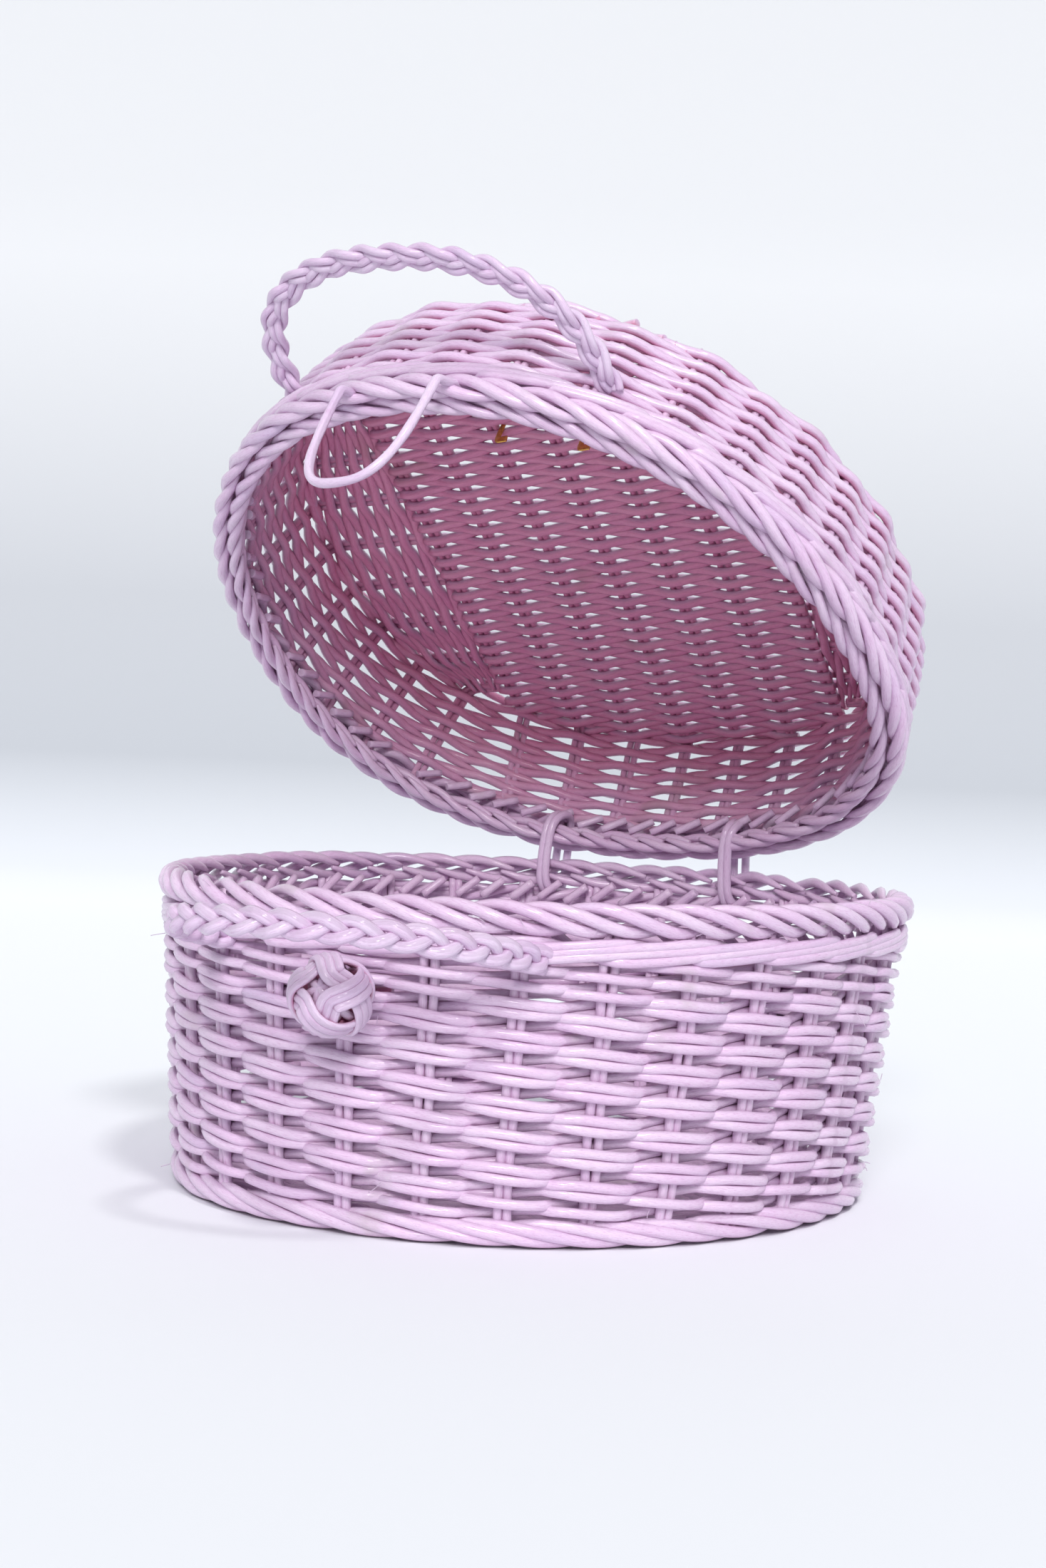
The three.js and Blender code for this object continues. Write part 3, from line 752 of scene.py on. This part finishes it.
def handles():
    braid(
        arch("base_handle", False, reach=79.5, lift=0.165, half_span=69, fullness=2.2),
        (0, 0.16, 1), reach=3.7, lift=1.8, period=39, canes=1, cane=2.5,
        name="base_handle_plait", body="base_handle", replaced=["base_handle"], hand=-1,
    )
    braid(
        arch("lid_handle", True, reach=60.5, lift=0.15, half_span=77, fullness=2.3),
        (0, 0.15, 1), reach=3.0, lift=1.8, period=43, canes=2, cane=1.75,
        name="lid_handle_plait", body="lid_handle", replaced=["lid_handle"], matrix=OPEN,
    )


def clasp():
    points = node_points("clasp_loop", closed=True)
    top = points[:, 2].max() - 2.1
    x_middle = (points[:, 0].min() + points[:, 0].max()) / 2
    half_span = np.ptp(points[:, 0]) / 2 - 2.1
    drop = np.ptp(points[:, 2]) - 4.2
    root_y = points[points[:, 2] > top - 3][:, 1].mean()
    t = np.linspace(0, math.pi, 90)
    side = signed_power(np.cos(t), 0.66)
    down = drop * np.sin(t).clip(0) ** 0.66
    line = np.stack([x_middle + half_span * side, root_y - down * 0.02, top - down], 1)
    inner = np.array([0, 7.0, -0.5])
    line = np.vstack([line[0] + inner, line, line[-1] + inner])
    line, run = resampled(line, 1.2)
    kernel = np.ones(7) / 7
    for axis in range(3):
        line[3:-3, axis] = np.convolve(line[:, axis], kernel, "valid")
    line += np.stack([wander(run / 300, 0.5, 1, 5) for _ in range(3)], 1)
    tucked = np.clip((line[:, 2] - 138) / 8, 0, 1)
    line[:, 1] += 8 * tucked**2 * (3 - 2 * tucked)
    rods = Rods()
    rods.add(line, 2.0 * (1 + wander(run / 300, 0.05)), sides=12)
    rods.build("clasp_cane", CANE, "painted_cane", "clasp", ["clasp_loop"], OPEN)


def hinge_loops():
    for name in ("hinge_loop_left", "hinge_loop_right"):
        points = node_points(name)
        low, high = points.min(0), points.max(0)
        x = (low[0] + high[0]) / 2
        ends = points[points[:, 2] > high[2] - 4].mean(0), points[points[:, 2] < low[2] + 4].mean(0)
        up = (ends[0] - ends[1]) * np.array([0, 1, 1])
        up /= np.linalg.norm(up)
        outward = np.array([0, up[2], -up[1]])
        reach = 10.2
        centre = np.array([x, (low[1] + high[1]) / 2, (low[2] + high[2]) / 2])
        half = np.linalg.norm((ends[0] - ends[1])[1:]) / 2 - reach - 1.0
        t = np.linspace(0, TAU, 73)[:-1]
        rods = Rods()
        for turn in (-1, 1):
            sideways = x + turn * 2.25 + 1.0 * np.sin(t + turn) - 1.2 * np.cos(2 * t)
            along = reach * 0.97 * np.sin(t) + half * np.tanh(3 * np.sin(t))
            beside = reach * np.cos(t) * 0.92
            line = centre + outward * beside[:, None] + up * along[:, None]
            line[:, 0] = sideways
            rods.add(line, 2.1, closed=True, hint=(1, 0, 0))
        start, end = Vector(ends[1] * MM), Vector(ends[0] * MM)
        rods.build(f"{name}_cane", CANE, "painted_cane", "base", [name], None, ("lid", start, end))


# ---------------------------------------------------------------- lid, woven closed
LID_STAKES = 7
SIDE_STAKES = 9
STAKE_PITCH = 30
STAKE_X = 10
STAKE_LEAN = 0.13  # how far along X a stake of the top leans for each unit of Y
LID_SWING = 3.2
LID_ROD = 2.2
STAKE_ROD = 1.75
LID_ROWS = 14
PANEL_Z = LID_TOP - ROD - LID_SWING
# Surfaces facing these points get painted shade: LID_CORE inside the lid, PANEL_CORE under its top.
LID_CORE = (0, 5, 130)
PANEL_CORE = (0, 5, -2000)  # so far below that only undersides look towards it and get painted shade


def stake_end_x(centre, half, back):
    """X where a leaning stake meets the front or the back of the top."""
    x = centre
    for _ in range(12):
        y = oval(half, share_at_x(half, x, back, LID_TOP_SHIFT), LID_TOP_SHIFT)[1]
        x = centre - STAKE_LEAN * y
    return x


STAKE_CENTRES = [STAKE_X + (k - 3) * STAKE_PITCH for k in range(LID_STAKES)]


def lid_stake_shares():
    """Shares of all the wall's stakes: those from the top, and evenly spaced ones between."""
    half = LID_TOP_HALF - 7

    def met(back):
        ends = (stake_end_x(centre, half, back) for centre in STAKE_CENTRES)
        return sorted(share_at_x(half, x, back, LID_TOP_SHIFT) for x in ends)

    front, back = met(False), met(True)
    left = list(np.linspace(back[-1], front[0], SIDE_STAKES + 2)[1:-1])
    right = list(np.mod(np.linspace(front[-1], back[0] + 1, SIDE_STAKES + 2)[1:-1], 1))
    return np.array(sorted(front + back + left + right)), np.array(left), np.array(right)


ALL_STAKES, LEFT_STAKES, RIGHT_STAKES = lid_stake_shares()


def lid_phase(share):
    """Counts stakes passed on the way round, smoothly between them."""
    count = len(ALL_STAKES)
    known = np.r_[ALL_STAKES[-1] - 1, ALL_STAKES, ALL_STAKES[0] + 1]
    return np.interp(np.mod(share, 1), known, np.arange(-1, count + 1))


def lid_ring(rods, z, parity):
    count = len(ALL_STAKES) * 9
    share = np.arange(count) / count
    phase = math.pi * (lid_phase(share) + parity)
    half, shift = lid_outer(z)
    out = LID_SWING * signed_power(np.cos(phase), 2.0)
    x, y = oval(half - ROD - LID_SWING + out + wander(share, 0.22), share, shift)
    height = z + 0.45 * np.sin(phase) + wander(share, 0.35)
    thick = LID_ROD * (1 + wander(share, 0.035))
    rods.add(np.stack([x, y, height], 1), thick, closed=True, hint=(0, 0, 1))


def build_lid(rods, name, replaced, core=None):
    # Given a core, surfaces facing it get painted shade, weaker towards the lid's mouth.
    mouth = None if core is None else LID_LOW
    rods.build(name, WILLOW, "painted_willow", "lid", replaced, OPEN, core=core, mouth=mouth)


def lid_wall():
    rods = Rods()
    low, high = LID_LOW + 3.0, LID_CORNER_Z + 2.4
    for k in range(LID_ROWS):
        lid_ring(rods, low + (high - low) * k / (LID_ROWS - 1), k)
    build_lid(rods, "lid_wall_weave", ["lid_wall"], LID_CORE)


def bent_over(leg, inner):
    """The curve from the top of a stake's leg, straight up and then in to where the top begins."""
    above = leg[-1] + [0, 0, 7]
    return [leg[-1] * (1 - u) ** 2 + above * 2 * u * (1 - u) + inner * u**2 for u in (0.35, 0.7, 1)]


def lid_stake_rods():
    rods = Rods()
    half = LID_TOP_HALF - ROD - LID_SWING
    for centre in STAKE_CENTRES:
        ends = {back: stake_end_x(centre, half - 4, back) for back in (False, True)}
        for side in (-1, 1):
            line = []
            for back in (False, True):
                z = np.linspace(LID_LOW - 4, PANEL_Z - 7, 12)
                outer, shift = lid_outer(z)
                x = ends[back] + side * 1.6
                y = []
                for wall, moved_by in zip(outer - ROD - LID_SWING, shift):
                    y.append(oval(wall, share_at_x(wall, x, back, moved_by), moved_by)[1])
                leg = np.stack([np.full(12, x), y, z], 1)
                inner = leg[-1] + np.array([0, -7 if back else 7, 7])
                line.append(np.vstack([leg, bent_over(leg, inner)]))
            flat = np.linspace(line[0][-1], line[1][-1], 40)[1:-1]
            path = np.vstack([line[0], flat, line[1][::-1]])
            path[:, 0] += wander(np.linspace(0, 1, len(path)), 0.3, 1, 6)
            rods.add(path, STAKE_ROD, hint=(1, 0, 0))
    names = [name for name in frame["nodes"] if name.startswith("lid_stake_")]
    build_lid(rods, "lid_top_stakes", names, PANEL_CORE)


def seam_left(y):
    return STAKE_X - 3 * STAKE_PITCH - STAKE_LEAN * y - 4.6


def seam_right(y):
    return STAKE_X + 3 * STAKE_PITCH - STAKE_LEAN * y + 4.6


def side_stake_rods():
    """Side wall stakes that bend over at the top and run in to the seam."""
    rods = Rods()
    half = LID_TOP_HALF - ROD - LID_SWING
    for shares, seam, inward in ((LEFT_STAKES, seam_left, 1), (RIGHT_STAKES, seam_right, -1)):
        for share in shares:
            for side in (-1, 1):
                nudge = side * 1.6 / (UNIT_LENGTH * half)
                z = np.linspace(LID_LOW - 4, PANEL_Z - 7, 10)
                outer, shift = lid_outer(z)
                x, y = oval(outer - ROD - LID_SWING, share + nudge, shift)
                leg = np.stack([x, y, z], 1)
                direction = np.array([inward, 0, 0])
                inner = leg[-1] + direction * 7 + [0, 0, 7]
                bend = bent_over(leg, inner)
                stop = np.array([seam(inner[1]) - inward * 2, inner[1], inner[2]])
                if (stop[0] - inner[0]) * inward > 4:
                    bend += list(np.linspace(inner, stop, 10)[1:])
                rods.add(np.vstack([leg, bend]), STAKE_ROD, hint=(0.3, 1, 0))
    names = [name for name in frame["nodes"] if name.startswith("lid_side_stake_")]
    build_lid(rods, "lid_side_stakes", names, LID_CORE)


CRESCENT_RODS = 12


def crescents():
    """Rods running front to back between the seam and the corner, closing up at the ends."""
    rods = Rods()
    half = LID_TOP_HALF - 3.4
    for shares, seam, right in ((LEFT_STAKES, seam_left, False), (RIGHT_STAKES, seam_right, True)):
        stakes_y = np.sort(oval(half, shares, LID_TOP_SHIFT)[1])
        y = np.linspace(stakes_y[0] - 26, stakes_y[-1] + 26, 130)
        edge = oval_side_x(half, y, right, LID_TOP_SHIFT)
        inner = np.array([seam(v) for v in y])
        gap = (edge - inner) / CRESCENT_RODS * (1 if right else -1)
        known = np.r_[stakes_y[0] - 30, stakes_y, stakes_y[-1] + 30]
        passed = np.interp(y, known, np.arange(len(known)))
        for k in range(CRESCENT_RODS):
            fits = gap > 1.5 + 0.9 * ((k * 5) % 3) / 3
            if fits.sum() < 12:
                continue
            x = inner + (edge - inner) * (k + 0.5) / CRESCENT_RODS
            level = PANEL_Z + 2.6 * signed_power(np.cos(math.pi * (passed + k)), 2.2)
            drop = 2.2 * ((k + 0.5) / CRESCENT_RODS) ** 4
            thick = np.clip(gap * 0.5 + 0.2, 1.05, 2.4)
            line = np.stack([x + wander(y / 700, 0.25, 2, 12), y, level - drop], 1)[fits]
            rods.add(line, thick[fits], hint=(1, 0, 0))
    build_lid(rods, "lid_crescents", (), PANEL_CORE)


def lid_panel():
    rods = Rods()
    flat_weave(
        rods, LID_TOP_HALF - 4.2, LID_TOP_SHIFT, PANEL_Z, lean=STAKE_LEAN, centre=STAKE_X,
        pitch=STAKE_PITCH, swing=3.0, seam_left=seam_left, seam_right=seam_right,
    )
    build_lid(rods, "lid_panel_weave", ["lid_panel"], PANEL_CORE)


def lid_rim():
    outer = Rods()
    rope_z = LID_LOW - 0.3 - RIM_RADIUS
    strands(
        outer, ROPE_HALF + 2.9, rope_z - 0.2, 0, across=2.6, high=4.2,
        count=BORDER_STRANDS, turn=70, radius=2.6, start=185, sweep=350, dive=0.4,
    )
    half, shift = lid_outer(LID_LOW)
    wale(
        outer, LID_LOW + 1.2, rise=4.5, half=half + 1.2, shift=shift, radius=2.2,
        reach=3, dwell=0.76, stakes=len(ALL_STAKES), phase=0.4,
    )
    build_lid(outer, "lid_rim_outer", ["lid_rim_outer_rope"])
    inner = Rods()
    strands(
        inner, ROPE_HALF - 4.6, rope_z - 2.6, 0, across=2.4, high=3.0,
        count=60, turn=56, radius=2.3, start=200, sweep=400, dive=0.15,
    )
    stubs(inner, ROPE_HALF - 6.4, rope_z + 2.2, rope_z + 10, radius=2.0)
    build_lid(inner, "lid_rim_inner", ["lid_rim_inner_rope"])


# ---------------------------------------------------------------- brass ties and fibres
def brass_ties():
    for name in ("brass_tie_left", "brass_tie_right"):
        points = node_points(name, closed=True)
        low, high = points.min(0), points.max(0)
        x = low[0] + 1.8
        y = (low[1] + high[1]) / 2
        tongue = [(x, y, high[2] + 3), (x, y, high[2] - 3)]
        tongue += [(x, y + 0.3, low[2] + 2.4), (x + 0.5, y, low[2] + 1.0)]
        foot = [(x + 1.6, y, low[2] + 0.6), (high[0] - 1.2, y, low[2] + 0.9)]
        line, _ = resampled(np.array(tongue + foot), 0.6)
        rods = Rods()
        rods.add(line, 1.7, sides=10, flat=0.3, hint=(0.15, 1, 0.2))
        rods.build(f"{name}_strip", BRASS, "brass", "lid", [name], OPEN)


def fibres():
    """Loose hairs of split cane standing off the base's foot, wall and rim."""
    rods = Rods()
    for _ in range(70):
        share = RNG.uniform(0, 1)
        z = RNG.choice([RNG.uniform(4, 16), RNG.uniform(20, 112), RNG.uniform(124, 137)])
        half, shift = base_outer(z)
        x, y = oval(half - 0.8, share, shift)
        away = np.array([x, y, 0]) / math.hypot(x, y)
        drift = RNG.normal(0, 1, 3)
        u = np.linspace(0, 1, 8)[:, None]
        length = RNG.uniform(3, 7)
        straight = np.array([x, y, z]) + length * (away * u * 0.35 + drift * 0.45 * u)
        rods.add(straight + RNG.normal(0, 1, 3) * u * (1 - u), 0.16, sides=4)
    rods.build("loose_fibres", CANE, "painted_cane", "base")


base_weave()
base_stakes()
base_borders()
base_floor()
knob()
handles()
clasp()
hinge_loops()
lid_wall()
lid_stake_rods()
side_stake_rods()
crescents()
lid_panel()
lid_rim()
brass_ties()
fibres()


# ---------------------------------------------------------------- studio
def studio():
    """A paper sweep behind the basket, with painted shade making it a little darker where it bends up
    from the floor.
    """
    material = bpy.data.materials.new("studio_paper")
    material.use_nodes = True
    surface = material.node_tree.nodes["Principled BSDF"]
    graph = Graph(material.node_tree)
    apart = graph.nodes.new("ShaderNodeSeparateXYZ")
    graph.links.new(graph.place(), apart.inputs[0])
    # Painted shade on the sweep: its colour falls from the floor to the bend and lower wall, then rises
    # again higher up.
    stops = [(0.0, (0.825, 0.85, 0.88)), (0.03, (0.70, 0.73, 0.77)), (0.15, (0.44, 0.465, 0.50))]
    stops += [(0.35, (0.45, 0.47, 0.50)), (0.8, (0.66, 0.675, 0.69))]
    graph.links.new(graph.ramp(apart.outputs[2], stops), surface.inputs["Base Color"])
    surface.inputs["Roughness"].default_value = 0.8
    heading = math.radians(28.7)
    forward = np.array([-math.sin(heading), math.cos(heading)])
    sideways = np.array([forward[1], -forward[0]])
    near, far, bend, top, half_width = -2.6, 1.4, 0.9, 4.0, 4.0
    profile = [(near, 0.0), (far, 0.0)]
    for angle in np.linspace(0.1, math.pi / 2, 14):
        profile.append((far + bend * math.sin(angle), bend - bend * math.cos(angle)))
    profile += [(far + bend, top)]
    corners, faces = [], []
    for distance, height in profile:
        for reach in (-half_width, half_width):
            place = forward * distance + sideways * reach
            corners.append((place[0], place[1], height))
    for k in range(len(profile) - 1):
        faces.append((2 * k, 2 * k + 1, 2 * k + 3, 2 * k + 2))
    mesh = bpy.data.meshes.new("studio_sweep")
    mesh.from_pydata(corners, [], faces)
    mesh.polygons.foreach_set("use_smooth", [True] * len(faces))
    mesh.materials.append(material)
    sweep = bpy.data.objects.new("studio_sweep", mesh)
    bpy.context.scene.collection.objects.link(sweep)


def sun(name, energy, angle, azimuth, elevation, colour):
    lamp = bpy.data.lights.new(name, "SUN")
    lamp.energy = energy
    lamp.angle = math.radians(angle)
    lamp.color = colour
    azimuth, elevation = math.radians(azimuth), math.radians(elevation)
    flat = math.cos(elevation)
    towards = Vector((math.cos(azimuth) * flat, math.sin(azimuth) * flat, math.sin(elevation)))
    holder = bpy.data.objects.new(name, lamp)
    holder.rotation_euler = towards.to_track_quat("Z", "Y").to_euler()
    bpy.context.scene.collection.objects.link(holder)


def lights():
    world = bpy.data.worlds.new("studio")
    bpy.context.scene.world = world
    world.use_nodes = True
    background = world.node_tree.nodes["Background"]
    background.inputs[0].default_value = (0.92, 0.95, 1.0, 1)
    background.inputs[1].default_value = 0.5
    sun("key", energy=0.95, angle=7, azimuth=-40, elevation=57, colour=(1.0, 0.985, 0.98))
    sun("fill", energy=1.95, angle=18, azimuth=-64, elevation=31, colour=(1.0, 0.975, 0.985))


def camera():
    data = bpy.data.cameras.new("camera")
    data.lens = 59.17
    data.sensor_width = 36
    data.clip_end = 20
    eye = bpy.data.objects.new("camera", data)
    yaw, pitch, roll = (math.radians(v) for v in (28.696, 1.373, 2.466))
    level = math.cos(pitch)
    forward = Vector((-math.sin(yaw) * level, math.cos(yaw) * level, -math.sin(pitch)))
    right = Vector((0, 0, 1)).cross(-forward).normalized()
    up = (-forward).cross(right)
    tilted = right * math.cos(roll) + up * math.sin(roll)
    raised = up * math.cos(roll) - right * math.sin(roll)
    columns = Matrix((tilted, raised, -forward)).transposed().to_4x4()
    eye.matrix_world = Matrix.Translation((0.55, -1.0098, 0.2065)) @ columns
    bpy.context.scene.collection.objects.link(eye)
    bpy.context.scene.camera = eye


studio()
lights()
camera()
bpy.context.scene.view_settings.view_transform = "Standard"
